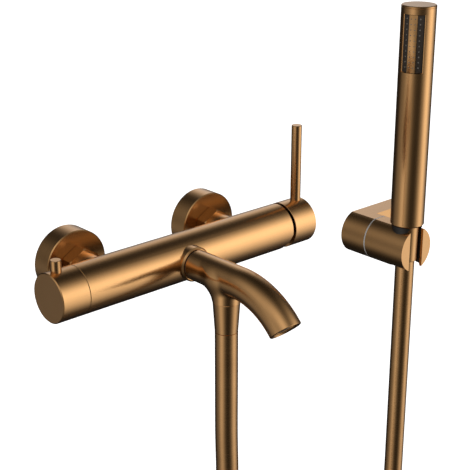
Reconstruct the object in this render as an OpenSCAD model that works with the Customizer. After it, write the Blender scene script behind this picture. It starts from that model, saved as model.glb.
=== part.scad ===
// Wall mounted bath mixer with spout, diverter, hand shower, hose and wall holder.
// Origin: on the wall face, midway between the two inlets. +X right, +Y into the wall, +Z up.

/* [Mixer body] */
// Distance between the two wall inlets
inlet_spacing = 150; // [130:1:180]
// Distance from the wall to the axis of the body
body_reach = 65; // [58:1:90]
// Diameter of the body, the knob and the handle cap
body_d = 42.5; // [40:0.5:52]
// Length of the body left of its centre
body_left = 108.5; // [100:0.5:130]
// Length of the body right of its centre
body_right = 120.3; // [112:0.1:140]
// Diameter of the chambers for the two cartridges
chamber_d = 34; // [32:0.5:35]
// Diameter of the necks between the union nuts and the body
neck_d = 28; // [26:0.5:32]
// Tilt of the cut that clears the handle cap under the right end
bevel_angle = 23; // [15:1:28]

/* [Wall inlets] */
// Diameter of the round wall flanges
flange_d = 60.5; // [50:0.5:80]
// Thickness of the wall flanges
flange_t = 19; // [14:0.5:24]
// Width across the flats of the union nuts
nut_af = 30; // [30:0.5:36]
// Diameter of the inlet thread that goes into the wall fitting
inlet_thread_d = 20.96; // [16:0.02:27]
// Length of the inlet thread behind the wall face
inlet_thread_l = 15; // [10:1:25]

/* [Diverter knob] */
// Length of the diverter knob
knob_len = 26.2; // [22:0.2:34]
// Diameter of the grip pin on the knob
grip_d = 9; // [6:0.5:12]
// Height of the grip pin above the knob
grip_h = 10; // [6:0.5:20]

/* [Lever] */
// Gap between the body and the handle cap
cap_gap = 3.2; // [2.4:0.1:5]
// Length of the handle cap
cap_len = 27; // [23:0.5:34]
// Diameter of the lever rod
lever_d = 9.6; // [7:0.1:12]
// Height of the top of the lever above the body axis
lever_h = 93; // [70:1:130]

/* [Spout] */
// Outer diameter of the spout tube
spout_d = 27.6; // [25:0.1:32]
// Wall thickness of the spout tube
spout_wall = 2.6; // [2:0.1:4]
// Distance from the wall to the start of the spout's bend
spout_straight = 143; // [140:1:180]
// Radius of the spout's bend at its centreline
spout_bend = 74; // [50:1:110]
// Angle of the spout's bend
spout_angle = 48; // [30:1:75]
// Diameter of the collar where the spout leaves the body
collar_d = 31; // [30:0.5:36]
// Distance from the wall to the hose outlet
outlet_reach = 127; // [115:1:135]
// Diameter of the hose outlet branch
branch_d = 24; // [22:0.5:27]

/* [Hose] */
// Outer diameter of the hose
hose_d = 20; // [14:0.5:20]
// Diameter of the hose threads
hose_thread_d = 19.6; // [18:0.1:21]
// Length of the tapered nut at the mixer end
mixer_nut_l = 28; // [24:1:40]
// Length of the tapered nut at the handset end
handset_nut_l = 39; // [34:1:50]

/* [Handset] */
// Diameter of the handset
handset_d = 35; // [30:0.5:36]
// Height of the top of the handset above the body axis
handset_top = 186.5; // [170:0.5:230]
// Wall thickness of the handset tube
handset_wall = 2.6; // [1.5:0.1:3.2]
// Direction of the middle of the spray panel, counterclockwise from +X
spray_dir = 202.5; // [0:0.5:360]
// Height of the spray panel
spray_h = 57.5; // [40:0.5:70]
// Rows of nozzles
spray_rows = 10; // [4:1:12]

/* [Wall holder] */
// Distance from the middle of the mixer to the holder's axis
holder_x = 304; // [260:1:400]
// Depth of the holder's axis below the body axis
holder_drop = 66.3; // [40:0.1:120]
// Diameter of the holder
holder_d = 47; // [44:0.5:56]
// Distance from the wall to the front of the fork
fork_reach = 84; // [82:0.5:90]
// Distance from the wall to the axis of the handset
seat_reach = 70; // [66:0.5:72]
// Thickness of the wide part of the base on the wall
base_t = 22; // [18:0.5:24]
// Distance from the wall to the ring between base and fork
ring_reach = 32; // [30:0.5:34]
// Width of the slot that the hose passes through
slot_w = 20.6; // [20.4:0.1:24]
// Distance between the two wall screws of the holder
screw_spacing = 50; // [40:1:70]
// Diameter of the two screw holes
screw_hole_d = 5.5; // [4:0.1:7]

/* [Hidden] */
$fn = 96;

bronze = [0.52, 0.35, 0.19];
brass = [0.72, 0.58, 0.30];
steel = [0.70, 0.71, 0.72];
black = [0.10, 0.10, 0.11];
white = [0.90, 0.90, 0.88];
ceramic = [0.95, 0.95, 0.92];

slip = 0.05;        // radial clearance of parts that fit in each other
edge = 0.8;         // chamfer on visible edges
body_r = body_d / 2;

// Mixing cartridge, places along X
cart_end = body_right - 8.3;
cart_nut_l = 4;
cart_l = 24;
cart_start = cart_end - cart_nut_l - cart_l;
cart_cavity_d = chamber_d - 8;
cart_floor = 6;
disc_t = 3;
turret_start = cart_start + cart_floor + 2 * disc_t;
turret_end = cart_end - cart_nut_l - 0.1;
pivot_x = turret_end - 4;
stem_w = 7;
bonnet_d = 26;
bonnet_bore = 22;
bonnet_end = body_right + 1.8;
plenum = 20;

// Handle cap and lever
cap_start = body_right + cap_gap;
cap_end = cap_start + cap_len;
cap_cavity_d = body_d - 8.5;
hub_start = cap_start + 12.5;
stem_end = cap_end - 7.5;
lever_x = cap_end - 7.8;
lever_sink = 10;
screw_d = 5;

// Diverter, places along X measured to the left of the centre
div_end = body_left - 0.5;
div_nut_l = 4;
div_l = 24;
div_start = div_end - div_nut_l - div_l;
div_wall = 4;
journal_d = 10;
knob_gap = 0.4;
knob_start = body_left + knob_gap;
knob_end = knob_start + knob_len;
knob_hub = knob_start + 9;
drive_end = knob_end - 7.5;
drive_w = 7;
grip_x = knob_end - 8.5;

// Inlets, places along -Y
union_thread_d = 26.4;
union_front = flange_t + 10;
nut_start = flange_t + 0.3;
nut_end = nut_start + 12;
neck_start = nut_end + 0.1;
union_bore = 12;
washer_t = neck_start - union_front - 0.1;
neck_bore = 16;
valve_l = 12;

// Spout
spout_r = spout_d / 2;
spout_bore = spout_d - 2 * spout_wall;
boss_end = body_reach + body_r + 2.3;
seal_t = 1.2;
spout_start = boss_end + seal_t;
branch_end = 21;
nipple_d = 16;
aerator_depth = 13.5;
mouth_y = spout_straight + spout_bend * sin(spout_angle);
mouth_z = -spout_bend * (1 - cos(spout_angle));

// Hose ends, places along Z
outlet_thread_l = 7;
washer_h = 2;
ferrule_d = hose_d - 3;
ferrule_flange = 2;
mixer_nut_top_d = 23.6;
mixer_nut_low = branch_end + mixer_nut_l;
seat_z = -41;
handset_nut_low = seat_z - handset_nut_l;
handset_nut_top_d = 25.4;
handset_nut_end_d = 24.2;

// Handset
handset_r = handset_d / 2;
handset_in_r = handset_r - handset_wall;
handset_low = seat_z + 0.2;
handset_floor = 4;
cap_t = 2.2;
panel_half = 40.5;
panel_gap = 0.35;
panel_top = handset_top - 8;
panel_low = panel_top - spray_h;
panel_w = 2 * handset_r * sin(panel_half);
panel_back = handset_r * cos(panel_half) - 1.2;
mat_t = 1.2;
row_pitch = (spray_h - 9.8) / (spray_rows - 1);
core_d = 18;

// Holder
holder_r = holder_d / 2;
flat_z = 22.3 * holder_d / 47;
ring_t = 1.5;
fork_start = ring_reach + ring_t;
bolt_d = 8;
bolt_head_d = 14;
bolt_head_t = 4;
wave_t = 1.5;
base_cavity = 12;
plate_t = 4.5;
plate_gap = 0.4;
liner_r = 15.3;
liner_lip = 1.2;
liner_low = holder_drop + 18;
liner_play = 0.35;

// Route of the hose, from the nut under the spout to the nut under the handset
hose_route = [
    [0, -127, -49], [0, -127, -98], [0, -127, -145], [1, -127, -190], [1, -127, -235], [1, -127, -280],
    [2, -127, -325], [2, -127, -370], [3, -127, -415], [4, -126, -460], [5, -126, -505], [7, -126, -550],
    [10, -125, -594], [21, -123, -648], [52, -118, -694], [98, -109, -725], [152, -99, -736],
    [207, -88, -725], [253, -80, -694], [284, -74, -648], [295, -72, -594], [298, -71, -550],
    [300, -71, -505], [301, -71, -460], [302, -70, -415], [303, -70, -370], [304, -70, -330],
    [304, -70, -290], [304, -70, -245], [304, -70, -205], [304, -70, -160], [304, -70, -120],
    [304, -70, -80]];
riser_from = 26;    // the point where the last straight stretch up to the handset starts
hose_sides = 10;

// ---- Helpers ----

// Round bar along X from x0 to x1
module bar_x(x0, x1, d) {
    translate([x0, 0, 0]) rotate([0, 90, 0]) cylinder(d = d, h = x1 - x0);
}

// Round bar along -Y, from a distance y0 to a distance y1 in front of the wall
module bar_y(y0, y1, d) {
    translate([0, -y0, 0]) rotate([90, 0, 0]) cylinder(d = d, h = y1 - y0);
}

// Round bar along Z from z0 to z1
module bar_z(z0, z1, d) {
    translate([0, 0, z0]) cylinder(d = d, h = z1 - z0);
}

// Round bar along Z from z0 up to z1 that tapers from d0 to d1
module taper_z(z0, z1, d0, d1) {
    translate([0, 0, z0]) cylinder(d1 = d0, d2 = d1, h = z1 - z0);
}

// Turned bar along its own axis with a chamfer at each end
module turned(d, h, low = 0, high = 0) {
    rotate_extrude() polygon([[0, 0], [d / 2 - low, 0], [d / 2, low], [d / 2, h - high], [d / 2 - high, h], [0, h]]);
}

// Flat ring along its own axis
module ring(d, bore, h) {
    difference() {
        cylinder(d = d, h = h);
        translate([0, 0, -1]) cylinder(d = bore, h = h + 2);
    }
}

module on_body_axis() { translate([0, -body_reach, 0]) children(); }
module facing_right(x) { translate([x, 0, 0]) rotate([0, 90, 0]) children(); }
module facing_left(x) { translate([-x, 0, 0]) rotate([0, -90, 0]) children(); }
module facing_front(y) { translate([0, -y, 0]) rotate([90, 0, 0]) children(); }
module at_inlet(side) { translate([side * inlet_spacing / 2, 0, 0]) children(); }
module at_inlets() { for (side = [-1, 1]) at_inlet(side) children(); }
module at_outlet() { translate([0, -outlet_reach, 0]) children(); }
module at_mouth() { translate([0, -mouth_y, mouth_z]) rotate([90 + spout_angle, 0, 0]) children(); }
module at_handset() { translate([holder_x, -seat_reach, 0]) children(); }
module at_holder() { translate([holder_x, 0, -holder_drop]) children(); }
module toward_spray() { rotate([0, 0, spray_dir]) children(); }

// ---- Mixer body ----

module mixer_body() {
    color(bronze) difference() {
        union() {
            on_body_axis() facing_left(-body_right) turned(body_d, body_right + body_left, edge / 2, edge / 4);
            at_inlets() bar_y(neck_start, body_reach, neck_d);
            facing_front(body_reach) turned(collar_d, boss_end - body_reach, 0, 1.3);
        }
        on_body_axis() {
            bar_x(cart_start - plenum, body_right + 1, chamber_d);
            bar_x(-body_left - 1, -div_start + plenum, chamber_d);
            bar_x(-div_start, cart_start, neck_bore);
            translate([body_right, 0, -2]) rotate([0, bevel_angle, 0])
                translate([0, -body_d, -body_d]) cube([body_d, 2 * body_d, body_d]);
        }
        at_inlets() bar_y(neck_start - 1, body_reach, neck_bore);
        bar_y(body_reach, boss_end + 1, nipple_d);
    }
}

// ---- Mixing cartridge ----

module cartridge_housing() {
    color(white) on_body_axis() difference() {
        bar_x(cart_start, cart_end - cart_nut_l, chamber_d - 2 * slip);
        bar_x(cart_start + cart_floor, cart_end, cart_cavity_d);
        for (turn = [0, 120, 240]) rotate([turn, 0, 0]) translate([0, 0, 7])
            bar_x(cart_start - 1, cart_start + cart_floor + 1, 5);
    }
}

module fixed_disc() {
    color(ceramic) on_body_axis() difference() {
        bar_x(cart_start + cart_floor, cart_start + cart_floor + disc_t, cart_cavity_d - 2 * slip);
        for (turn = [0, 120, 240]) rotate([turn, 0, 0]) translate([0, 0, 7])
            bar_x(cart_start, turret_end, 5);
    }
}

module moving_disc() {
    color(ceramic) on_body_axis() difference() {
        bar_x(cart_start + cart_floor + disc_t + 0.02, turret_start - 0.02, cart_cavity_d - 1);
        translate([cart_start, -4, -9]) cube([cart_l, 8, 11]);
    }
}

module cartridge_turret() {
    color(white) on_body_axis() difference() {
        bar_x(turret_start, turret_end, cart_cavity_d - 1);
        translate([turret_start - 1, -stem_w / 2 - 0.4, -9.5]) cube([cart_l, stem_w + 0.8, 19]);
        translate([pivot_x, cart_cavity_d / 2, 0]) rotate([90, 0, 0]) cylinder(d = 3 + 2 * slip, h = cart_cavity_d);
    }
}

module stem_pin() {
    color(steel) on_body_axis() translate([pivot_x, cart_cavity_d / 2 - 1, 0]) rotate([90, 0, 0])
        cylinder(d = 3, h = cart_cavity_d - 2);
}

module cartridge_stem() {
    color(steel) on_body_axis() difference() {
        translate([turret_start + 1, -stem_w / 2, -stem_w / 2]) cube([stem_end - turret_start - 1, stem_w, stem_w]);
        translate([pivot_x, stem_w, 0]) rotate([90, 0, 0]) cylinder(d = 3 + 2 * slip, h = 2 * stem_w);
    }
}

module cartridge_nut() {
    color(brass) on_body_axis() facing_right(cart_end - cart_nut_l + 0.02)
        ring(chamber_d - 2 * slip, bonnet_bore, cart_nut_l - 0.02);
}

module cartridge_bonnet() {
    color(black) on_body_axis() facing_right(cart_end + 0.02) ring(bonnet_d, bonnet_bore, bonnet_end - cart_end);
}

module cartridge_seals() {
    color(black) on_body_axis() facing_left(-cart_start + 0.02) ring(chamber_d - 4, neck_bore + 10, 1.5);
}

// ---- Handle cap and lever ----

module handle_cap() {
    color(bronze) on_body_axis() difference() {
        facing_right(cap_start) turned(body_d, cap_len, edge / 4, edge);
        bar_x(cap_start - 1, hub_start, cap_cavity_d);
        translate([hub_start - 1, -stem_w / 2 - slip, -stem_w / 2 - slip])
            cube([stem_end - hub_start + 1.2, stem_w + 2 * slip, stem_w + 2 * slip]);
        translate([lever_x, 0, 0]) bar_z(body_r - lever_sink, body_d, lever_d + 2 * slip);
        translate([lever_x - 2, 0, 0]) bar_z(-body_d, -stem_w / 2, screw_d + 2 * slip);
    }
}

module lever_rod() {
    color(bronze) on_body_axis() translate([lever_x, 0, body_r - lever_sink])
        turned(lever_d, lever_h - body_r + lever_sink, 0, edge / 2);
}

// Set screw with a hex socket, pointing up
module set_screw(low, high) {
    difference() {
        bar_z(low, high, screw_d);
        translate([0, 0, low - 1]) cylinder(d = 2.9, h = 3.5, $fn = 6);
    }
}

module lever_screw() {
    color(steel) on_body_axis() translate([lever_x - 2, 0, 0]) set_screw(-body_r + 4, -stem_w / 2 - 0.02);
}

// ---- Diverter ----

module diverter_housing() {
    color(white) on_body_axis() difference() {
        bar_x(-(div_end - div_nut_l), -div_start, chamber_d - 2 * slip);
        bar_x(-(div_end - div_nut_l - div_wall), -(div_start + div_wall), cart_cavity_d);
        bar_x(-div_end, -div_start - div_wall, journal_d + 2 * slip);
        bar_x(-div_start - div_wall - 1, -div_start + 1, 8);
    }
}

module diverter_spindle() {
    core_start = div_start + div_wall + 1;
    core_end = div_end - div_nut_l - div_wall - 1;
    color(brass) on_body_axis() difference() {
        union() {
            bar_x(-core_end, -core_start, cart_cavity_d - 1);
            bar_x(-knob_hub, -core_end, journal_d);
            translate([-drive_end, -drive_w / 2, -drive_w / 2]) cube([drive_end - knob_hub, drive_w, drive_w]);
        }
        translate([-(core_start + core_end) / 2, 0, -cart_cavity_d / 2 - 1])
            cylinder(d = 8, h = cart_cavity_d + 2);
    }
}

module diverter_nut() {
    color(brass) on_body_axis() facing_left(div_end - div_nut_l + 0.02)
        ring(chamber_d - 2 * slip, journal_d + 6, div_nut_l - 0.02);
}

module diverter_seals() {
    color(black) on_body_axis() facing_right(-div_start + 0.02) ring(chamber_d - 4, neck_bore + 10, 1.5);
}

module diverter_knob() {
    color(bronze) on_body_axis() difference() {
        facing_left(knob_start) turned(body_d, knob_len, edge / 4, edge);
        bar_x(-knob_hub, -knob_start + 1, cap_cavity_d);
        translate([-drive_end - 0.2, -drive_w / 2 - slip, -drive_w / 2 - slip])
            cube([drive_end - knob_hub + 1, drive_w + 2 * slip, drive_w + 2 * slip]);
        translate([-grip_x, 0, 0]) bar_z(body_r - grip_d, body_d, grip_d + 2 * slip);
        translate([-grip_x + 1, 0, 0]) bar_z(-body_d, -drive_w / 2, screw_d + 2 * slip);
    }
}

module grip_pin() {
    color(bronze) on_body_axis() translate([-grip_x, 0, body_r - grip_d])
        turned(grip_d, grip_h + grip_d, 0, edge / 2);
}

module knob_screw() {
    color(steel) on_body_axis() translate([-grip_x + 1, 0, 0]) set_screw(-body_r + 4, -drive_w / 2 - 0.02);
}

// ---- Wall inlets ----

module wall_union(side) {
    color(brass) at_inlet(side) difference() {
        union() {
            bar_y(-inlet_thread_l, 0, inlet_thread_d);
            bar_y(0, union_front, union_thread_d);
        }
        bar_y(-inlet_thread_l - 1, union_front + 1, union_bore);
    }
}
module left_union() { wall_union(-1); }
module right_union() { wall_union(1); }

module wall_flange(side) {
    color(bronze) at_inlet(side) difference() {
        facing_front(0) turned(flange_d, flange_t, 0, edge);
        bar_y(-1, flange_t - 3, flange_d - 6);
        bar_y(0, flange_t + 1, union_thread_d + 2 * slip);
    }
}
module left_flange() { wall_flange(-1); }
module right_flange() { wall_flange(1); }

module union_nut(side) {
    long = nut_af / cos(30);
    color(bronze) at_inlet(side) difference() {
        intersection() {
            facing_front(nut_start) rotate([0, 0, 30]) cylinder(d = long, h = nut_end - nut_start, $fn = 6);
            facing_front(nut_start) turned(long, nut_end - nut_start, 1, 1);
        }
        bar_y(nut_start - 1, nut_end + 1, union_thread_d + 2 * slip);
    }
}
module left_union_nut() { union_nut(-1); }
module right_union_nut() { union_nut(1); }

module inlet_washers() {
    color(black) at_inlets() facing_front(union_front + 0.05) ring(union_thread_d - 2, union_bore, washer_t);
}

module inlet_check_valves() {
    color(white) at_inlets() facing_front(neck_start + 1) ring(neck_bore - 2 * slip, 9, valve_l);
}

// ---- Spout ----

// Bar along the spout's centreline: straight, then bent down
module spout_way(d, from) {
    bar_y(from, spout_straight, d);
    translate([0, -spout_straight, -spout_bend]) rotate([0, 90, 0]) intersection() {
        rotate_extrude($fn = 180) translate([spout_bend, 0]) circle(d = d, $fn = 96);
        translate([0, 0, -50]) linear_extrude(100)
            polygon([[0, 0], [-150, 0], [-150, -150 * tan(spout_angle)]]);
    }
}

// Rounded gusset below the tube that leads into the outlet branch
module branch_flare() {
    flare = branch_end - spout_r - 0.2;
    outer = branch_d / 2 + flare - 0.3;
    at_outlet() intersection() {
        translate([0, 0, -spout_r - flare]) rotate_extrude() difference() {
            square([outer, flare + 3]);
            translate([outer, 0]) circle(r = flare);
        }
        translate([0, 0, -spout_r]) rotate([90, 0, 0]) cylinder(r = 8, h = 60, center = true);
    }
}

module spout() {
    color(bronze) difference() {
        union() {
            spout_way(spout_d, spout_start);
            at_outlet() bar_z(-branch_end, 0, branch_d);
            branch_flare();
        }
        spout_way(spout_bore, spout_start + 10);
        bar_y(spout_start - 1, spout_start + 11, nipple_d);
        at_outlet() bar_z(-branch_end - 1, 0, nipple_d);
        at_mouth() {
            translate([0, 0, -aerator_depth]) cylinder(d = spout_bore, h = aerator_depth + 1);
            translate([0, 0, -1.4]) cylinder(d1 = spout_bore, d2 = spout_bore + 3.4, h = 1.5);
        }
    }
}

module spout_nipple() {
    color(brass) facing_front(boss_end - 12) ring(nipple_d - 2 * slip, 11, 12 + seal_t + 10 - 0.1);
}

module spout_seal() {
    color(black) facing_front(boss_end) ring(collar_d - 5, nipple_d, seal_t);
}

module aerator_housing() {
    color(steel) at_mouth() translate([0, 0, -11]) ring(spout_bore - 2 * slip, spout_bore - 4, 9);
}

module aerator_screen() {
    pitch = 2.6;
    color(steel) at_mouth() translate([0, 0, -4]) difference() {
        cylinder(d = spout_bore - 4 - 2 * slip, h = 1.2);
        for (i = [-2:2], j = [-2:2]) translate([i * pitch, j * pitch, 0]) cube([1.8, 1.8, 4], center = true);
    }
}

module aerator_seal() {
    color(black) at_mouth() translate([0, 0, -12.6]) ring(spout_bore - 1, spout_bore - 6, 1.5);
}

// ---- Hose outlet and hose ends ----

module outlet_nipple() {
    color(brass) at_outlet() difference() {
        union() {
            bar_z(-branch_end, -branch_end + 10, nipple_d - 2 * slip);
            bar_z(-branch_end - outlet_thread_l, -branch_end, hose_thread_d);
        }
        bar_z(-branch_end - outlet_thread_l - 1, -branch_end + 11, 11);
    }
}

module outlet_check_valve() {
    color(white) at_outlet() translate([0, 0, -branch_end - outlet_thread_l]) ring(11 - 2 * slip, 6, 12);
}

// Tapered hose nut, hanging from its top at z: a threaded mouth above a bore that holds the ferrule
module hose_nut(z, l, top_d, low_d) {
    depth = outlet_thread_l + washer_h + ferrule_flange + 0.3;
    difference() {
        rotate_extrude() polygon([[0, z - l], [low_d / 2 - 0.3, z - l], [low_d / 2, z - l + 0.6],
            [top_d / 2, z - 0.4], [top_d / 2 - 0.3, z], [0, z]]);
        bar_z(z - depth, z + 1, hose_thread_d + 2 * slip);
        bar_z(z - l - 1, z, ferrule_d + 2 * slip);
    }
}

module ferrule(z, l) {
    top = z - outlet_thread_l - washer_h;
    difference() {
        union() {
            bar_z(top - ferrule_flange, top, hose_thread_d - 1);
            bar_z(z - l, top, ferrule_d);
        }
        bar_z(z - l - 1, top + 1, 11);
    }
}

module washer_below(z) {
    translate([0, 0, z - outlet_thread_l - washer_h + 0.02]) ring(hose_thread_d - 1, 11, washer_h - 0.04);
}

module mixer_hose_nut() {
    color(bronze) at_outlet() hose_nut(-branch_end - 0.1, mixer_nut_l - 0.1, mixer_nut_top_d, hose_d);
}
module mixer_hose_washer() { color(black) at_outlet() washer_below(-branch_end); }
module mixer_ferrule() { color(brass) at_outlet() ferrule(-branch_end, mixer_nut_l); }

module handset_hose_nut() {
    color(bronze) at_handset() hose_nut(seat_z, handset_nut_l, handset_nut_top_d, handset_nut_end_d);
}
module handset_hose_washer() { color(black) at_handset() washer_below(seat_z); }
module handset_ferrule() { color(brass) at_handset() ferrule(seat_z, handset_nut_l); }

// ---- Hose ----

across = [-57, 304, 0] / norm([-57, 304, 0]);   // level direction across the hose's hanging loop

function unit(v) = v / norm(v);
function heading(p, i) = unit(p[min(i + 1, len(p) - 1)] - p[max(i - 1, 0)]);
function hose_ring(p, i) =
    let (t = heading(p, i), n = unit(across - (across * t) * t), b = cross(t, n))
    [for (k = [0:hose_sides - 1])
        p[i] + hose_d / 2 * (cos(360 * k / hose_sides) * n + sin(360 * k / hose_sides) * b)];

// Tube swept along the points from index first to index last of the route
module hose_stretch(first, last) {
    n = hose_sides;
    rings = last - first;
    verts = [for (i = [first:last]) each hose_ring(hose_route, i)];
    walls = [for (i = [0:rings - 1], k = [0:n - 1])
        let (m = (k + 1) % n) [i * n + k, (i + 1) * n + k, (i + 1) * n + m, i * n + m]];
    start_cap = [for (k = [0:n - 1]) k];
    end_cap = [for (k = [n - 1:-1:0]) rings * n + k];
    polyhedron(verts, concat(walls, [start_cap], [end_cap]));
}

module hose_tube() { color(bronze) hose_stretch(0, riser_from); }
module hose_riser() { color(bronze) hose_stretch(riser_from, len(hose_route) - 1); }

// ---- Handset ----

// Block that reaches out of the handset over the spray panel, grown by extra on every side
module panel_block(back, extra) {
    toward_spray() translate([back, -panel_w / 2 - extra, panel_low - extra])
        cube([handset_d, panel_w + 2 * extra, spray_h + 2 * extra]);
}

module nozzle_grid(d, reach) {
    toward_spray() for (row = [0:spray_rows - 1], turn = [-24, -7, 7, 24])
        translate([0, 0, panel_top - 4.1 - row * row_pitch]) rotate([0, 90, turn])
            translate([0, 0, panel_back - mat_t]) cylinder(d = d, h = reach, $fn = 8);
}

module handset_tube() {
    color(bronze) at_handset() difference() {
        translate([0, 0, handset_low]) turned(handset_d, handset_top - cap_t - handset_low, 1.6, 0.2);
        bar_z(handset_low + handset_floor, handset_top, 2 * handset_in_r);
        bar_z(handset_low - 1, handset_top, nipple_d);
        panel_block(panel_back, 0);
    }
}

module handset_cap() {
    color(bronze) at_handset() {
        translate([0, 0, handset_top - cap_t]) turned(handset_d, cap_t, 0.3, edge);
        bar_z(handset_top - cap_t - 2.5, handset_top - cap_t, 2 * (handset_in_r - slip));
    }
}

module spray_panel() {
    color(steel) at_handset() difference() {
        intersection() {
            bar_z(panel_low, panel_top, handset_d);
            panel_block(panel_back, -panel_gap);
        }
        bar_z(panel_low - 1, panel_top + 1, 2 * panel_back);
        nozzle_grid(2.5, handset_r);
    }
}

module nozzle_mat() {
    color(white) at_handset() {
        difference() {
            intersection() {
                bar_z(panel_low, panel_top, 2 * (panel_back - 0.02));
                panel_block(0, -1.5);
            }
            bar_z(panel_low - 1, panel_top + 1, 2 * (panel_back - mat_t));
        }
        nozzle_grid(2.2, handset_r - panel_back + mat_t + 0.5);
    }
}

module handset_core() {
    color(white) at_handset() difference() {
        union() {
            bar_z(handset_low + handset_floor, panel_low, core_d);
            bar_z(panel_low - 3, panel_top + 3, 2 * (panel_back - mat_t - 0.05));
        }
        bar_z(handset_low, panel_top, nipple_d - 2);
        toward_spray() translate([0, -8, panel_low]) cube([handset_r, 16, spray_h]);
    }
}

module handset_inlet() {
    color(brass) at_handset() difference() {
        union() {
            bar_z(seat_z - outlet_thread_l, handset_low - 0.02, hose_thread_d);
            bar_z(seat_z, handset_low + handset_floor - 0.1, nipple_d - 2 * slip);
        }
        bar_z(seat_z - outlet_thread_l - 1, handset_low + handset_floor, 11);
    }
}

module flow_limiter() {
    color(white) at_handset() translate([0, 0, seat_z - outlet_thread_l]) ring(11 - 2 * slip, 5, 5);
}

// ---- Wall holder ----

// Outline across Y of the wide base, round the swivel axis and the second screw
module base_outline(r) {
    hull_w = screw_spacing;
    circle(r = r);
    translate([hull_w, 0]) circle(r = r);
    translate([0, -r]) square([hull_w, 2 * r]);
}

// Space above the holder's flat top
module above_flat() {
    translate([-holder_d, -fork_reach - 1, flat_z]) cube([3 * holder_d + screw_spacing, fork_reach + 2, holder_d]);
}

module holder_plate() {
    color(steel) at_holder() difference() {
        facing_front(0) linear_extrude(plate_t) intersection() {
            base_outline(holder_r - 3 - plate_gap);
            translate([-holder_d, -holder_d]) square([4 * holder_d, holder_d + flat_z - 3]);
        }
        for (x = [0, screw_spacing]) translate([x, 0, 0]) bar_y(-1, plate_t + 1, screw_hole_d);
    }
}

module holder_base() {
    color(bronze) at_holder() difference() {
        union() {
            facing_front(0) linear_extrude(base_t) base_outline(holder_r);
            facing_front(0) cylinder(d = holder_d, h = ring_reach);
        }
        facing_front(-1) linear_extrude(base_cavity + 1) intersection() {
            base_outline(holder_r - 3);
            translate([-holder_d, -holder_d]) square([4 * holder_d, holder_d + flat_z - 2.5]);
        }
        bar_y(0, ring_reach + 1, bolt_d + 2 * slip);
        translate([screw_spacing / 2, -base_cavity / 2, 0]) bar_z(-holder_d, -holder_r + 6, screw_d + 2 * slip);
        above_flat();
    }
}

module base_screw() {
    color(steel) at_holder() translate([screw_spacing / 2, -base_cavity / 2, 0])
        set_screw(-holder_r + 0.6, -holder_r + 3 + plate_gap - 0.05);
}

module swivel_ring() {
    color(steel) at_holder() difference() {
        facing_front(ring_reach) ring(holder_d, bolt_d + 4, ring_t);
        above_flat();
    }
}

module holder_fork() {
    color(bronze) at_holder() difference() {
        facing_front(fork_start) turned(holder_d, fork_reach - fork_start, 0.2, 0.2);
        bar_y(fork_start - 1, fork_start + 14, bolt_d);
        translate([0, -seat_reach, -holder_d]) cylinder(r = liner_r + slip, h = 2 * holder_d);
        translate([-slot_w / 2, -fork_reach - 1, -holder_d]) cube([slot_w, fork_reach - seat_reach + 1, 2 * holder_d]);
        above_flat();
    }
}

module fork_liner() {
    top = seat_z - 0.05;
    low = -liner_low;
    color(black) translate([holder_x, -seat_reach, 0]) difference() {
        union() {
            bar_z(low, top, 2 * liner_r);
            bar_z(flat_z - holder_drop, top, 2 * liner_r + liner_lip);
        }
        taper_z(low - 1, top + 1, handset_nut_end_d + 2 * liner_play, handset_nut_top_d + 2 * liner_play);
        translate([-slot_w / 2 - 0.01, -2 * liner_r, low - 1]) cube([slot_w + 0.02, 2 * liner_r, top - low + 2]);
    }
}

module fork_bolt() {
    head_start = base_cavity - wave_t - bolt_head_t;
    color(steel) at_holder() difference() {
        union() {
            facing_front(head_start) turned(bolt_head_d, bolt_head_t, 0.4, 0);
            bar_y(head_start, fork_start + 13, bolt_d);
        }
        facing_front(head_start - 1) cylinder(d = 5.8, h = 3.2, $fn = 6);
    }
}

module wave_washer() {
    color(steel) at_holder() facing_front(base_cavity - wave_t + 0.02) ring(bolt_head_d, bolt_d + 0.6, wave_t - 0.04);
}

// ---- Drawing ----

mixer_body();
cartridge_housing();
fixed_disc();
moving_disc();
cartridge_turret();
stem_pin();
cartridge_stem();
cartridge_nut();
cartridge_bonnet();
cartridge_seals();
handle_cap();
lever_rod();
lever_screw();
diverter_housing();
diverter_spindle();
diverter_nut();
diverter_seals();
diverter_knob();
grip_pin();
knob_screw();
left_union();
right_union();
left_flange();
right_flange();
left_union_nut();
right_union_nut();
inlet_washers();
inlet_check_valves();
spout();
spout_nipple();
spout_seal();
aerator_housing();
aerator_screen();
aerator_seal();
outlet_nipple();
outlet_check_valve();
mixer_hose_nut();
mixer_hose_washer();
mixer_ferrule();
hose_tube();
hose_riser();
handset_hose_nut();
handset_hose_washer();
handset_ferrule();
handset_tube();
handset_cap();
spray_panel();
nozzle_mat();
handset_core();
handset_inlet();
flow_limiter();
holder_plate();
holder_base();
base_screw();
swivel_ring();
holder_fork();
fork_liner();
fork_bolt();
wave_washer();
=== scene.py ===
import math

import bmesh
import bpy
import numpy as np
from mathutils import Matrix, Vector


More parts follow.
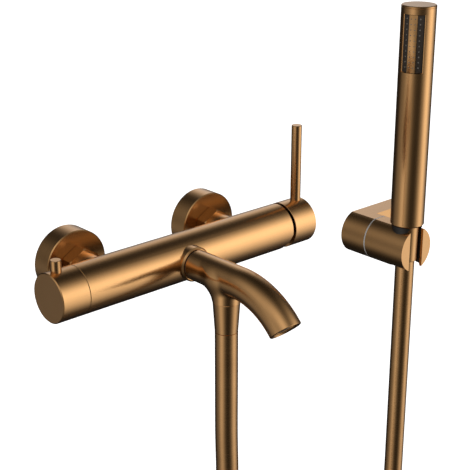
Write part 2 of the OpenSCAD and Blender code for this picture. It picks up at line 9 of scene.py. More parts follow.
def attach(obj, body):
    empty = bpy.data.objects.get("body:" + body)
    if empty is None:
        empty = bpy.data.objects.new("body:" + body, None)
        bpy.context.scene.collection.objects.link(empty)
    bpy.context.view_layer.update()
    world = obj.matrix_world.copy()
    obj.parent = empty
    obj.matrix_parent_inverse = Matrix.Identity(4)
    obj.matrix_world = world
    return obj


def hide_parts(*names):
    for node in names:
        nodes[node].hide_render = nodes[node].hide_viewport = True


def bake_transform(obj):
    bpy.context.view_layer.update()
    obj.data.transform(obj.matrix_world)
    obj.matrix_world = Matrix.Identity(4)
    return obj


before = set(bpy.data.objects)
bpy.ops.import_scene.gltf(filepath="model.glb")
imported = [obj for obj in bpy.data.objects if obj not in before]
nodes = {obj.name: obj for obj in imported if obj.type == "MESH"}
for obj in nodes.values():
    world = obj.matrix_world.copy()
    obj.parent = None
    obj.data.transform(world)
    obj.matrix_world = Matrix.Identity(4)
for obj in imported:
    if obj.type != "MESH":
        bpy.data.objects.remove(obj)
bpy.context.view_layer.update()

# Camera, light and floor

camera = {
    "place": (-0.6095, -0.8047, 0.3772),
    "yaw": 42.41,      # degrees from +Y toward +X
    "pitch": 20.42,    # degrees below the horizon
    "roll": 0.15,
    "lens": 90.6,
    "sensor": 36.0,
}


def setCamera(facts):
    data = bpy.data.cameras.new("studioCamera")
    data.lens = facts["lens"]
    data.sensor_width = facts["sensor"]
    data.clip_start = 0.02
    obj = bpy.data.objects.new("studioCamera", data)
    bpy.context.scene.collection.objects.link(obj)
    yaw, pitch = math.radians(facts["yaw"]), math.radians(facts["pitch"])
    forward = Vector((math.sin(yaw) * math.cos(pitch), math.cos(yaw) * math.cos(pitch), -math.sin(pitch)))
    turn = forward.to_track_quat("-Z", "Y").to_matrix().to_4x4()
    roll = Matrix.Rotation(math.radians(facts["roll"]), 4, "Z")
    obj.matrix_world = Matrix.Translation(facts["place"]) @ turn @ roll
    bpy.context.scene.camera = obj


setCamera(camera)
print("camera set")


# Shader maths

class Wire:
    # one output socket, which can be used in sums

    def __init__(self, tree, out):
        self.tree = tree
        self.out = out

    def maths(self, operation, other=None, third=None):
        node = self.tree.nodes.new("ShaderNodeMath")
        node.operation = operation
        for socket, value in zip(node.inputs, (self, other, third)):
            if isinstance(value, Wire):
                self.tree.links.new(value.out, socket)
            elif value is not None:
                socket.default_value = value
        return Wire(self.tree, node.outputs[0])

    def flipped(self, operation, other):
        node = self.tree.nodes.new("ShaderNodeMath")
        node.operation = operation
        node.inputs[0].default_value = other
        self.tree.links.new(self.out, node.inputs[1])
        return Wire(self.tree, node.outputs[0])

    def __add__(self, other):
        return self.maths("ADD", other)

    def __radd__(self, other):
        return self.maths("ADD", other)

    def __sub__(self, other):
        return self.maths("SUBTRACT", other)

    def __rsub__(self, other):
        return self.flipped("SUBTRACT", other)

    def __mul__(self, other):
        return self.maths("MULTIPLY", other)

    def __rmul__(self, other):
        return self.maths("MULTIPLY", other)

    def __truediv__(self, other):
        return self.maths("DIVIDE", other)

    def __pow__(self, other):
        return self.maths("POWER", other)


def plug(tree, node, values):
    # fills each socket of a node with a value or a link; at0 is its first socket
    for key, value in values.items():
        socket = node.inputs[int(key[2:]) if key.startswith("at") else key.replace("_", " ")]
        if isinstance(value, Wire):
            tree.links.new(value.out, socket)
        else:
            socket.default_value = value


class Finish:
    # one material, or the world, built node by node

    def __init__(self, name, world=False):
        self.made = bpy.data.worlds.new(name) if world else bpy.data.materials.new(name)
        self.made.use_nodes = True
        self.tree = self.made.node_tree
        self.tree.nodes.clear()
        self.output = self.tree.nodes.new("ShaderNodeOutputWorld" if world else "ShaderNodeOutputMaterial")

    def add(self, kind, settings=None, out=0, **values):
        node = self.tree.nodes.new(kind)
        for key, value in (settings or {}).items():
            setattr(node, key, value)
        plug(self.tree, node, values)
        return Wire(self.tree, node.outputs[out])

    def mixColour(self, factor, first, second):
        return self.add("ShaderNodeMix", {"data_type": "RGBA"}, out=2, at0=factor, at6=first, at7=second)

    def place(self, stretch):
        where = self.add("ShaderNodeTexCoord", out=3)
        return self.add("ShaderNodeMapping", Vector=where, Scale=stretch)

    def noise(self, stretch, scale, detail, **more):
        return self.add("ShaderNodeTexNoise", Vector=self.place(stretch), Scale=scale, Detail=detail, **more)

    def surface(self, shader):
        self.tree.links.new(shader.out, self.output.inputs["Surface"])
        return self.made


even = (1.0, 1.0, 1.0)    # the same stretch every way

bronze = {
    "light": (0.68, 0.375, 0.140, 1.0),
    "dark": (0.52, 0.262, 0.082, 1.0),
    "roughness": 0.26,
    "streakRoughness": 0.06,
    "coat": 0.35,
    "coatRoughness": 0.22,
    "coatBending": 1.9,
    "acrossStreaks": 2600.0,    # how fine the brush lines are, per metre
    "alongStreaks": 24.0,       # how long they are
    "clouds": 26.0,
    "grains": 2200.0,
    "streakShare": 0.4,         # shares of the streaks, clouds and grains in the colour
    "cloudShare": 0.35,
    "grainShare": 0.25,
    "bump": 0.035,
}


def brushedBronze(name, across, facts):
    # satin bronze with brush lines; across is the direction that the lines stand square to
    make = Finish(name)
    stretch = tuple(facts["acrossStreaks"] if a else facts["alongStreaks"] for a in across)
    streak = make.noise(stretch, 1.0, 3.0, Roughness=0.6)
    cloud = make.noise(even, facts["clouds"], 2.0)
    grain = make.noise(even, facts["grains"], 2.0)
    shade = streak * facts["streakShare"] + cloud * facts["cloudShare"] + grain * facts["grainShare"]
    colour = make.mixColour(shade, facts["dark"], facts["light"])
    rough = streak * facts["streakRoughness"] + grain * 0.05 + (facts["roughness"] - 0.075)
    relief = streak * 0.7 + grain * 0.3
    bump = make.add("ShaderNodeBump", Height=relief, Strength=facts["bump"], Distance=0.0002)
    metal = make.add(
        "ShaderNodeBsdfPrincipled",
        Base_Color=colour, Metallic=1.0, Roughness=rough, Normal=bump,
        Coat_Weight=facts["coat"], Coat_Roughness=facts["coatRoughness"], Coat_IOR=facts["coatBending"])
    return make.surface(metal)


bronzeAlongX = brushedBronze("bronzeBrushedRoundX", (True, False, False), bronze)
bronzeAlongY = brushedBronze("bronzeBrushedRoundY", (False, True, False), bronze)
bronzeAlongZ = brushedBronze("bronzeBrushedRoundZ", (False, False, True), bronze)

plain = {
    # colour, metallic, roughness, grains per metre
    "steel": ((0.60, 0.59, 0.57, 1.0), 1.0, 0.32, 900.0),
    "brass": ((0.66, 0.50, 0.24, 1.0), 1.0, 0.35, 900.0),
    "rubber": ((0.025, 0.024, 0.023, 1.0), 0.0, 0.70, 1600.0),
    "whitePlastic": ((0.78, 0.77, 0.74, 1.0), 0.0, 0.45, 1200.0),
    "blackPlastic": ((0.022, 0.018, 0.015, 1.0), 0.0, 0.40, 1400.0),
    "silicone": ((0.30, 0.27, 0.23, 1.0), 0.0, 0.55, 2000.0),
    "matSilicone": ((0.060, 0.045, 0.034, 1.0), 0.0, 0.55, 1500.0),
    "ringSteel": ((0.90, 0.89, 0.87, 1.0), 0.55, 0.55, 900.0),
}


def grainFinish(name, paintColour, metallic, roughness, grains):
    # fine mottled grain over one colour
    make = Finish(name)
    grain = make.noise(even, grains, 3.0)
    lower = tuple(c * 0.86 for c in paintColour[:3]) + (1.0,)
    colour = make.mixColour(grain, lower, paintColour)
    rough = grain * 0.12 + (roughness - 0.06)
    bump = make.add("ShaderNodeBump", Height=grain, Strength=0.08, Distance=0.0001)
    body = make.add(
        "ShaderNodeBsdfPrincipled",
        Base_Color=colour, Metallic=metallic, Roughness=rough, Normal=bump)
    return make.surface(body)


finishes = {name: grainFinish(name, *facts) for name, facts in plain.items()}


def hoseSkin(name, facts):
    # smooth outer skin of the hose, satin, with faint marks round it
    make = Finish(name)
    cloud = make.noise(even, 60.0, 3.0)
    ringed = make.noise((40.0, 40.0, 900.0), 1.0, 2.0)
    dark = tuple(c * 0.92 for c in facts["dark"][:3]) + (1.0,)
    colour = make.mixColour(cloud * 0.6 + ringed * 0.4, dark, facts["light"])
    rough = ringed * 0.08 + (facts["roughness"] - 0.02)
    bump = make.add("ShaderNodeBump", Height=ringed, Strength=0.04, Distance=0.0002)
    skin = make.add(
        "ShaderNodeBsdfPrincipled",
        Base_Color=colour, Metallic=1.0, Roughness=rough, Normal=bump,
        Coat_Weight=facts["coat"], Coat_Roughness=facts["coatRoughness"], Coat_IOR=facts["coatBending"])
    return make.surface(skin)


hoseBronze = hoseSkin("hoseBronzeSkin", bronze)

nodeFinish = {
    bronzeAlongX: ["mixer_body", "handle_cap", "diverter_knob"],
    bronzeAlongY: ["left_flange", "right_flange", "left_union_nut", "right_union_nut", "holder_base",
                   "holder_fork"],
    bronzeAlongZ: ["lever_rod", "grip_pin", "mixer_hose_nut", "handset_hose_nut", "handset_tube",
                   "handset_cap"],
    finishes["brass"]: ["left_union", "right_union", "cartridge_nut", "diverter_nut", "diverter_spindle",
                        "spout_nipple", "outlet_nipple", "mixer_ferrule", "handset_ferrule", "handset_inlet"],
    finishes["steel"]: ["stem_pin", "cartridge_stem", "lever_screw", "knob_screw", "aerator_housing",
                        "holder_plate", "base_screw", "fork_bolt", "wave_washer"],
    finishes["ringSteel"]: ["swivel_ring"],
    finishes["rubber"]: ["cartridge_seals", "diverter_seals", "inlet_washers", "spout_seal", "aerator_seal",
                         "mixer_hose_washer", "handset_hose_washer"],
    finishes["whitePlastic"]: ["cartridge_housing", "cartridge_turret", "diverter_housing",
                               "inlet_check_valves", "outlet_check_valve", "handset_core", "flow_limiter",
                               "fixed_disc", "moving_disc"],
    finishes["blackPlastic"]: ["cartridge_bonnet", "fork_liner"],
}


def paint(obj, material):
    if not obj.data.materials:
        obj.data.materials.append(material)
    for index in range(len(obj.data.materials)):
        obj.data.materials[index] = material


for material, names in nodeFinish.items():
    for name in names:
        paint(nodes[name], material)
print("finishes made")


# Mesh helpers

def newPiece(name, mesh, material, body):
    obj = bpy.data.objects.new(name, mesh)
    bpy.context.scene.collection.objects.link(obj)
    mesh.materials.clear()
    mesh.materials.append(material)
    if body:
        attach(obj, body)
    return obj


def smoothMesh(bm, name):
    for face in bm.faces:
        face.smooth = True
    mesh = bpy.data.meshes.new(name)
    bm.to_mesh(mesh)
    bm.free()
    return mesh


def closeSpline(points, step):
    # cubic through the points, cut into pieces about one step long
    pts = [np.array(p, float) for p in points]
    pts = [2 * pts[0] - pts[1]] + pts + [2 * pts[-1] - pts[-2]]
    out = []
    for a, b, c, d in zip(pts, pts[1:], pts[2:], pts[3:]):
        count = max(2, int(round(np.linalg.norm(c - b) / step)))
        for k in range(count):
            t = k / count
            out.append(0.5 * (2 * b + (c - a) * t + (2 * a - 5 * b + 4 * c - d) * t * t
                              + (3 * b - a - 3 * c + d) * t ** 3))
    out.append(pts[-2])
    return np.array(out)


def sweepTube(name, line, radii, sides, first):
    # closed tube along a line, with its rings square to it
    bm = bmesh.new()
    rings = []
    side = np.array(first, float)
    for index, centre in enumerate(line):
        ahead = line[min(index + 1, len(line) - 1)] - line[max(index - 1, 0)]
        ahead /= np.linalg.norm(ahead)
        side = side - ahead * side.dot(ahead)
        side /= np.linalg.norm(side)
        up = np.cross(ahead, side)
        ring = []
        for k in range(sides):
            turn = 2 * math.pi * k / sides
            ring.append(bm.verts.new(centre + radii[index] * (math.cos(turn) * side + math.sin(turn) * up)))
        rings.append(ring)
    for low, high in zip(rings, rings[1:]):
        for k in range(sides):
            m = (k + 1) % sides
            bm.faces.new((low[k], low[m], high[m], high[k]))
    bm.faces.new(list(reversed(rings[0])))
    bm.faces.new(rings[-1])
    bmesh.ops.recalc_face_normals(bm, faces=bm.faces)
    for ring in (rings[0], rings[-1]):
        for k in range(sides):
            edge = bm.edges.get((ring[k], ring[(k + 1) % sides]))
            edge.smooth = False
    return smoothMesh(bm, name)


# Hose

hose = {
    "diameter": 0.020,
    "sides": 40,
    "step": 0.005,
    "route": [  # millimetres
        (0, -127, -49), (0, -127, -98), (0, -127, -145), (1, -127, -190), (1, -127, -235), (1, -127, -280),
        (2, -127, -325), (2, -127, -370), (3, -127, -415), (4, -126, -460), (5, -126, -505), (7, -126, -550),
        (10, -125, -594), (21, -123, -648), (52, -118, -694), (98, -109, -725), (152, -99, -736),
        (207, -88, -725), (253, -80, -694), (284, -74, -648), (295, -72, -594), (298, -71, -550),
        (300, -71, -505), (301, -71, -460), (302, -70, -415), (303, -70, -370), (304, -70, -330),
        (304, -70, -290), (304, -70, -245), (304, -70, -205), (304, -70, -160), (304, -70, -120),
        (304, -70, -80)],
    "fixedEnd": 26,      # the point where the riser starts
    "swivelEnd": 29,     # the point where the riser is cut into a lower and an upper piece
}


def makeHose(facts):
    route = [tuple(v / 1000 for v in p) for p in facts["route"]]
    stretches = [
        ("mainHose", 0, facts["fixedEnd"]),
        ("lowerRiserHose", facts["fixedEnd"], facts["swivelEnd"]),
        ("upperRiserHose", facts["swivelEnd"], len(route) - 1)]
    for name, first, last in stretches:
        line = closeSpline(route[first:last + 1], facts["step"])
        mesh = sweepTube(name, line, [facts["diameter"] / 2] * len(line), facts["sides"], (0.3, 1.0, 0.0))
        body = "fixed" if name == "mainHose" else None
        piece = newPiece(name, mesh, hoseBronze, body)
        if name == "lowerRiserHose":
            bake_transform(piece)
            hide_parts("hose_riser")
        elif name == "upperRiserHose":
            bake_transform(piece)
            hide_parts("hose_riser")
        else:
            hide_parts("hose_tube")


makeHose(hose)


# Spout

spout = {
    "start": 0.08975,
    "straight": 0.143,
    "bend": 0.074,
    "angle": 48.0,
    "startRadius": 0.01355,
    "mouthRadius": 0.0140,
    "reach": 0.127,
    "branchRadius": 0.012,
    "branchEnd": 0.021,
    "wallFillet": 0.013,
    "frontFillet": 0.0025,
    "voxel": 0.0011,
    "rim": 0.0006,
    "bore": 0.0112,
    "boreDepth": 0.0125,
    "innerRim": 0.0012,
    "backRadius": 0.0135,
    "backHole": 0.008,
    "footHole": 0.006,
    "edge": 0.0004,
    "footLift": 0.0003,
    "overrun": 0.006,    # how far the rough shape runs past each cut
    "lineStep": 0.004,
}


def spoutDistance(p, facts):
    # signed distance to the outer skin: a bent tube and a round branch, blended where they meet
    x, y, z = p[:, 0], p[:, 1], p[:, 2]
    bent = y < -facts["straight"]
    inPlane = np.where(bent, np.hypot(y + facts["straight"], z + facts["bend"]) - facts["bend"], z)
    along = np.where(
        bent,
        facts["straight"] - facts["start"]
        + facts["bend"] * np.arctan2(-y - facts["straight"], z + facts["bend"]),
        -y - facts["start"])
    whole = facts["straight"] - facts["start"] + facts["bend"] * math.radians(facts["angle"])
    growth = facts["mouthRadius"] - facts["startRadius"]
    radius = facts["startRadius"] + growth * np.clip(along / whole, 0, 1)
    tube = np.hypot(x, inPlane) - radius
    branch = np.maximum(np.hypot(x, y + facts["reach"]) - facts["branchRadius"], z)
    side = np.clip((y + facts["reach"]) / facts["branchRadius"] * 0.5 + 0.5, 0, 1)
    side = side * side * (3 - 2 * side)
    fillet = facts["frontFillet"] + (facts["wallFillet"] - facts["frontFillet"]) * side
    near = np.maximum(fillet - np.abs(tube - branch), 0) / fillet
    return np.minimum(tube, branch) - near * near * fillet / 4


def spoutLine(facts, before, beyond, step):
    line = [np.array((0.0, -facts["start"] + before, 0.0))]
    y = facts["start"] - before + step
    while y < facts["straight"]:
        line.append(np.array((0.0, -y, 0.0)))
        y += step
    whole = math.radians(facts["angle"]) + beyond / facts["bend"]
    count = int(whole * facts["bend"] / step)
    for k in range(count + 1):
        turn = whole * k / count
        line.append(np.array((
            0.0, -facts["straight"] - facts["bend"] * math.sin(turn), -facts["bend"] * (1 - math.cos(turn)))))
    return np.array(line)


def rimLoop(bm, plane, point, spread):
    # edge loop left open by a cut in this plane
    loop = [
        e for e in bm.edges if e.is_boundary
        and all(abs((v.co - point).dot(plane)) < 1e-5 and (v.co - point).length < spread for v in e.verts)]
    return loop


def turnIn(bm, loop, point, plane, steps):
    # carries an open loop inward over a list of (radius, depth) and closes it with a cap
    for edge in loop:
        edge.smooth = False
    for radius, depth in steps:
        result = bmesh.ops.extrude_edge_only(bm, edges=loop)
        verts = [g for g in result["geom"] if isinstance(g, bmesh.types.BMVert)]
        loop = [g for g in result["geom"] if isinstance(g, bmesh.types.BMEdge)
                and all(v in verts for v in g.verts)]
        for v in verts:
            out = v.co - point
            out -= plane * out.dot(plane)
            v.co = point + out.normalized() * radius - plane * depth
        for edge in loop:
            edge.smooth = False
    bmesh.ops.contextual_create(bm, geom=loop)


def makeSpout(facts):
    overrun, edge, footLift = facts["overrun"], facts["edge"], facts["footLift"]
    line = spoutLine(facts, overrun, overrun, facts["lineStep"])
    bm = bmesh.new()
    bm.from_mesh(sweepTube("spoutCore", line, [facts["mouthRadius"]] * len(line), 40, (1.0, 0.0, 0.0)))
    stub = np.array([(0.0, -facts["reach"], z) for z in (-0.002, -0.010, -facts["branchEnd"] - overrun)])
    bm.from_mesh(sweepTube("spoutStub", stub, [facts["branchRadius"]] * 3, 40, (1.0, 0.0, 0.0)))
    mesh = bpy.data.meshes.new("spoutRough")
    bm.to_mesh(mesh)
    bm.free()
    rough = bpy.data.objects.new("spoutRough", mesh)
    bpy.context.scene.collection.objects.link(rough)
    remesh = rough.modifiers.new("voxels", "REMESH")
    remesh.mode = "VOXEL"
    remesh.voxel_size = facts["voxel"]
    bpy.context.view_layer.update()
    skin = bpy.data.meshes.new_from_object(rough.evaluated_get(bpy.context.evaluated_depsgraph_get()))
    bpy.data.objects.remove(rough)
    p = np.empty(len(skin.vertices) * 3)
    skin.vertices.foreach_get("co", p)
    p = p.reshape(-1, 3)
    h = 1e-5
    for again in range(8):    # draws the voxels onto the smooth skin
        value = spoutDistance(p, facts)
        slope = np.stack([
            (spoutDistance(p + axis * h, facts) - spoutDistance(p - axis * h, facts)) / (2 * h)
            for axis in np.eye(3)], axis=1)
        square = np.maximum((slope ** 2).sum(axis=1), 0.2)
        p -= np.clip(value, -0.002, 0.002)[:, None] * slope / square[:, None]
    skin.vertices.foreach_set("co", p.ravel())
    bm = bmesh.new()
    bm.from_mesh(skin)
    angle = math.radians(facts["angle"])
    mouth = Vector((
        0, -facts["straight"] - facts["bend"] * math.sin(angle), -facts["bend"] * (1 - math.cos(angle))))
    outOfMouth = Vector((0, -math.cos(angle), -math.sin(angle)))
    back, down = Vector((0, 1, 0)), Vector((0, 0, -1))
    start = Vector((0, -facts["start"], 0))
    foot = Vector((0, -facts["reach"], -facts["branchEnd"]))
    rim = facts["rim"]
    for point, plane in ((mouth - outOfMouth * rim, outOfMouth), (start, back), (foot, down)):
        faces = [f for f in bm.faces if plane != down or f.calc_center_median().y > -facts["straight"]]
        edges = {e for f in faces for e in f.edges}
        verts = {v for f in faces for v in f.verts}
        bmesh.ops.bisect_plane(
            bm, geom=list(verts) + list(edges) + faces, dist=1e-7, plane_co=point, plane_no=plane,
            clear_outer=True)
    mouthIn = mouth - outOfMouth * rim
    turnIn(bm, rimLoop(bm, outOfMouth, mouthIn, 0.02), mouth, outOfMouth, [
        (facts["mouthRadius"] - rim, 0.0), (facts["bore"] + facts["innerRim"], 0.0),
        (facts["bore"], facts["innerRim"]), (facts["bore"], facts["boreDepth"])])
    turnIn(bm, rimLoop(bm, back, start, 0.02), start, back, [
        (facts["backRadius"] - edge, -edge), (facts["backHole"], -edge)])
    turnIn(bm, rimLoop(bm, down, foot, 0.02), foot, down, [
        (facts["branchRadius"] - edge, -footLift), (facts["footHole"], -footLift)])
    bmesh.ops.remove_doubles(bm, verts=bm.verts, dist=2e-6)
    bmesh.ops.recalc_face_normals(bm, faces=bm.faces)
    print("spout skin:", len(bm.faces), "faces, open edges", sum(e.is_boundary for e in bm.edges))
    return smoothMesh(bm, "spoutBlended")


spoutPiece = newPiece("spoutBlended", makeSpout(spout), bronzeAlongY, "fixed")
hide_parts("spout")
print("spout made")


# Spray face of the handset

handset = {
    "axis": (0.304, -0.070),
    "radius": 0.0175,
    "facing": 202.5,       # degrees from +X toward +Y
    "panelTop": 0.1785,
    "panelLow": 0.1210,
    "halfAngle": 39.4,
    "stripAngle": 14.5,    # half of the metal strip down the middle
    "metalLift": 0.0002,   # below the handset's own skin
    "matSink": 0.0013,
    "backChord": 0.0124,
    "gap": 0.00035,
    "rows": 10,
    "firstRow": 0.0041,
    "rowPitch": 0.0053,
    "outerColumn": 24.0,
    "nozzleFoot": 0.00125,
    "nozzleTip": 0.00085,
    "nozzleHeight": 0.0014,
}


def wedgeSolid(name, facts, low, high, fromAngle, toAngle, radius, back):
    # closed curved strip, from one angle to another, between a chord at the back and a radius
    count = max(3, int(abs(toAngle - fromAngle) / 1.5))
    section = []
    for k in range(count + 1):
        turn = math.radians(fromAngle + (toAngle - fromAngle) * k / count)
        section.append((radius * math.cos(turn), radius * math.sin(turn)))
    section.append((back, radius * math.sin(math.radians(toAngle))))
    section.append((back, radius * math.sin(math.radians(fromAngle))))
    facing = math.radians(facts["facing"])
    bm = bmesh.new()
    rings = []
    for z in (low, high):
        ring = []
        for x, y in section:
            ring.append(bm.verts.new((
                facts["axis"][0] + x * math.cos(facing) - y * math.sin(facing),
                facts["axis"][1] + x * math.sin(facing) + y * math.cos(facing), z)))
        rings.append(ring)
    total = len(section)
    for k in range(total):
        m = (k + 1) % total
        bm.faces.new((rings[0][k], rings[0][m], rings[1][m], rings[1][k]))
    bm.faces.new(list(reversed(rings[0])))
    bm.faces.new(rings[1])
    bmesh.ops.recalc_face_normals(bm, faces=bm.faces)
    sharp = [e for e in bm.edges if e.calc_face_angle(0.0) > 0.4]
    bmesh.ops.bevel(bm, geom=sharp, offset=0.00018, segments=2, profile=0.5, affect="EDGES")
    for edge in bm.edges:
        edge.smooth = edge.calc_face_angle(0.0) < 0.6
    return smoothMesh(bm, name)


def makeSprayFace(facts):
    low, high = facts["panelLow"] + facts["gap"], facts["panelTop"] - facts["gap"]
    strip, half, radius = facts["stripAngle"], facts["halfAngle"], facts["radius"]
    back = facts["backChord"]
    stripMesh = wedgeSolid("sprayStrip", facts, low, high, -strip, strip, radius - facts["metalLift"], back)
    metal = newPiece("sprayStrip", stripMesh, bronzeAlongZ, "handset")
    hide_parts("spray_panel")
    for name, start, end in (("nozzleStripLeft", -half, -strip), ("nozzleStripRight", strip, half)):
        matMesh = wedgeSolid(name, facts, low, high, start, end, radius - facts["matSink"], back)
        mat = newPiece(name, matMesh, finishes["matSilicone"], "handset")
        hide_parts("nozzle_mat")


makeSprayFace(handset)


# Geometry nodes

class Tree:
    # one geometry node tree with named inputs

    def __init__(self, name, sizes):
        self.group = bpy.data.node_groups.new(name, "GeometryNodeTree")
        self.group.interface.new_socket("Geometry", in_out="OUTPUT", socket_type="NodeSocketGeometry")
        for key, value in sizes.items():
            kind = "NodeSocketInt" if isinstance(value, int) else "NodeSocketFloat"
            socket = self.group.interface.new_socket(key, in_out="INPUT", socket_type=kind)
            socket.default_value = value
        self.inputs = self.group.nodes.new("NodeGroupInput")
        self.output = self.group.nodes.new("NodeGroupOutput")

    def size(self, key):
        return Wire(self.group, self.inputs.outputs[key])

    def add(self, kind, settings=None, out=0, **values):
        node = self.group.nodes.new(kind)
        for key, value in (settings or {}).items():
            setattr(node, key, value)
        plug(self.group, node, values)
        return Wire(self.group, node.outputs[out])

    def finish(self, geometry, material):
        real = self.add("GeometryNodeRealizeInstances", Geometry=geometry)
        painted = self.add("GeometryNodeSetMaterial", Geometry=real, Material=material)
        self.group.links.new(painted.out, self.output.inputs[0])
        return self.group


def grownPiece(name, tree, sizes, material, body):
    # runs a tree on an empty mesh with these sizes and keeps the result as a plain mesh
    host = bpy.data.objects.new(name + "Host", bpy.data.meshes.new(name + "Host"))
    bpy.context.scene.collection.objects.link(host)
    modifier = host.modifiers.new("grow", "NODES")
    modifier.node_group = tree
    for item in tree.interface.items_tree:
        if item.in_out == "INPUT" and item.name in sizes:
            modifier[item.identifier] = sizes[item.name]
    bpy.context.view_layer.update()
    mesh = bpy.data.meshes.new_from_object(host.evaluated_get(bpy.context.evaluated_depsgraph_get()))
    host.modifiers.clear()
    bpy.data.objects.remove(host)
    mesh.name = name
    return newPiece(name, mesh, material, body)


def nozzleTree(facts, material):
    sizes = {
        "Rows": facts["rows"], "Row Pitch": facts["rowPitch"],
        "Column Angle": math.radians(facts["outerColumn"]), "Radius": facts["radius"],
        "Foot": facts["nozzleFoot"], "Tip": facts["nozzleTip"],
        "Height": facts["nozzleHeight"]}
    tree = Tree("nozzleRows", sizes)
    grid = tree.add(
        "GeometryNodeMeshGrid", at0=2.0, at1=1.0, at2=4, at3=tree.size("Rows"))
    place = tree.add("GeometryNodeInputPosition")
    across = tree.add("ShaderNodeSeparateXYZ", Vector=place)
    upward = Wire(tree.group, across.out.node.outputs[1])
    spread = across.maths("ABSOLUTE") ** 1.13      # the two middle columns stand a little closer
    angle = across.maths("SIGN") * spread * tree.size("Column Angle")
    outward = tree.size("Radius") - spread * facts["matSink"] * 0.55 - 0.0006
    rowSpan = (tree.size("Rows") - 1.0) * tree.size("Row Pitch")
    spot = tree.add(
        "ShaderNodeCombineXYZ",
        X=angle.maths("COSINE") * outward, Y=angle.maths("SINE") * outward, Z=upward * rowSpan)
    rows = tree.add("GeometryNodeSetPosition", Geometry=grid, Position=spot)
    cone = tree.add(
        "GeometryNodeMeshCone", Vertices=12, Side_Segments=2, Fill_Segments=1,
        Radius_Top=tree.size("Tip"), Radius_Bottom=tree.size("Foot"), Depth=tree.size("Height"))
    turn = tree.add("ShaderNodeCombineXYZ", X=0.0, Y=math.pi / 2, Z=angle)
    scale = spread * 0.45 + 0.62
    nozzles = tree.add(
        "GeometryNodeInstanceOnPoints", Points=rows, Instance=cone, Rotation=turn, Scale=scale)
    low = facts["panelTop"] - facts["firstRow"] - facts["rowPitch"] * (facts["rows"] - 1) / 2
    placed = tree.add(
        "GeometryNodeTransform", Geometry=nozzles,
        Translation=(facts["axis"][0], facts["axis"][1], low),
        Rotation=(0.0, 0.0, math.radians(facts["facing"])))
    return tree.finish(placed, material), sizes


nozzleGroup, nozzleSizes = nozzleTree(handset, finishes["silicone"])
nozzlePiece = grownPiece(
    "sprayNozzles", nozzleGroup, nozzleSizes, finishes["silicone"], "handset")
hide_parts("nozzle_mat")
print("spray nozzles:", len(nozzlePiece.data.polygons), "faces")


# Aerator in the mouth

aerator = {
    "radius": 0.0091,
    "cells": 11,
    "wire": 0.00022,
    "depth": 0.0036,
}


def aeratorTree(facts, mouthFacts, material):
    sizes = {"Cells": facts["cells"], "Radius": facts["radius"], "Wire": facts["wire"]}
    tree = Tree("aeratorMesh", sizes)
    width = tree.size("Radius") * 2.0
    cells = tree.size("Cells")
    grid = tree.add("GeometryNodeMeshGrid", at0=width, at1=width, at2=cells, at3=cells)
    place = tree.add("GeometryNodeInputPosition")
    reach = tree.add("ShaderNodeVectorMath", {"operation": "LENGTH"}, out=1, at0=place)
    outside = tree.add(
        "FunctionNodeCompare", {"data_type": "FLOAT", "operation": "GREATER_THAN"},
        at0=reach, at1=tree.size("Radius"))
    kept = tree.add("GeometryNodeDeleteGeometry", Geometry=grid, Selection=outside)
    wires = tree.add("GeometryNodeMeshToCurve", Mesh=kept)
    ring = tree.add("GeometryNodeCurvePrimitiveCircle", Resolution=6, Radius=tree.size("Wire"))
    woven = tree.add("GeometryNodeCurveToMesh", Curve=wires, Profile_Curve=ring, Fill_Caps=True)
    angle = math.radians(mouthFacts["angle"])
    mouth = Vector((
        0, -mouthFacts["straight"] - mouthFacts["bend"] * math.sin(angle),
        -mouthFacts["bend"] * (1 - math.cos(angle))))
    inward = Vector((0, math.cos(angle), math.sin(angle)))
    placed = tree.add(
        "GeometryNodeTransform", Geometry=woven, Translation=tuple(mouth + inward * facts["depth"]),
        Rotation=(math.pi / 2 + angle, 0.0, 0.0))
    return tree.finish(placed, material), sizes


aeratorGroup, aeratorSizes = aeratorTree(aerator, spout, finishes["steel"])
aeratorPiece = grownPiece("aeratorMesh", aeratorGroup, aeratorSizes, finishes["steel"], "fixed")
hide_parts("aerator_screen")
print("aerator mesh:", len(aeratorPiece.data.polygons), "faces")


# Studio

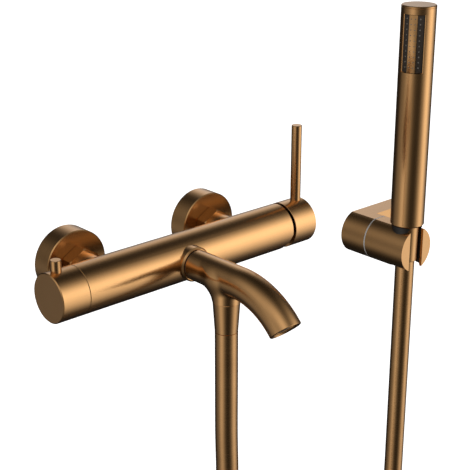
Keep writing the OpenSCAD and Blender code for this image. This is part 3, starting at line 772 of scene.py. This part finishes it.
studio = {
    "floorHeight": -0.80,
    "floorHalf": 12.0,
    "dim": 0.018,
    "tint": (1.0, 0.985, 0.965, 1.0),
    "boxes": [
        # direction, brightness, sharpness
        ((0.64, -0.72, 0.22), 1.95, 9.0),      # large soft box in front, to the right
        ((0.63, -0.69, -0.35), 0.90, 10.0),    # its light from a pale floor
        ((-0.95, 0.00, -0.36), 0.95, 12.0),    # weaker one on the left
        ((-0.60, -0.50, 0.62), 0.95, 9.0),     # overhead panel on the left
        ((0.632, 0.692, 0.349), 0.95, 20.0),   # pale wall behind
        ((-0.632, 0.692, -0.349), 0.20, 18.0),  # its shaded end
        ((-0.80, 0.28, 0.52), 0.55, 8.0),      # high panel on the far left
    ],
}


def makeStudio(facts):
    # soft boxes as smooth bright patches of the world round the object
    make = Finish("studioWorld", world=True)
    toward = make.add("ShaderNodeTexCoord")
    bright = None
    for direction, strength, sharpness in facts["boxes"]:
        aim = tuple(Vector(direction).normalized())
        facing = make.add("ShaderNodeVectorMath", {"operation": "DOT_PRODUCT"}, out=1, at0=toward, at1=aim)
        patch = ((facing - 1.0) * sharpness).maths("EXPONENT") * strength
        bright = patch if bright is None else bright + patch
    shade = make.add("ShaderNodeBackground", Color=facts["tint"], Strength=bright + facts["dim"])
    white = make.add("ShaderNodeBackground", Color=(1.0, 1.0, 1.0, 1.0), Strength=1.0)
    seen = make.add("ShaderNodeLightPath")
    bpy.context.scene.world = make.surface(make.add("ShaderNodeMixShader", at0=seen, at1=shade, at2=white))
    half, low = facts["floorHalf"], facts["floorHeight"]
    mesh = bpy.data.meshes.new("paleFloor")
    mesh.from_pydata([(-half, -half, low), (half, -half, low), (half, half, low), (-half, half, low)], [],
                     [(0, 1, 2, 3)])
    floor = bpy.data.objects.new("paleFloor", mesh)
    bpy.context.scene.collection.objects.link(floor)
    make = Finish("floorWhite")
    surface = make.add(
        "ShaderNodeBsdfPrincipled", Base_Color=(0.9, 0.9, 0.9, 1.0), Roughness=0.9,
        Emission_Color=(1.0, 1.0, 1.0, 1.0), Emission_Strength=1.0)
    mesh.materials.append(make.surface(surface))
    floor.visible_glossy = False
    floor.visible_diffuse = False
    bpy.context.scene.view_settings.view_transform = "Standard"


makeStudio(studio)
print("studio lit")
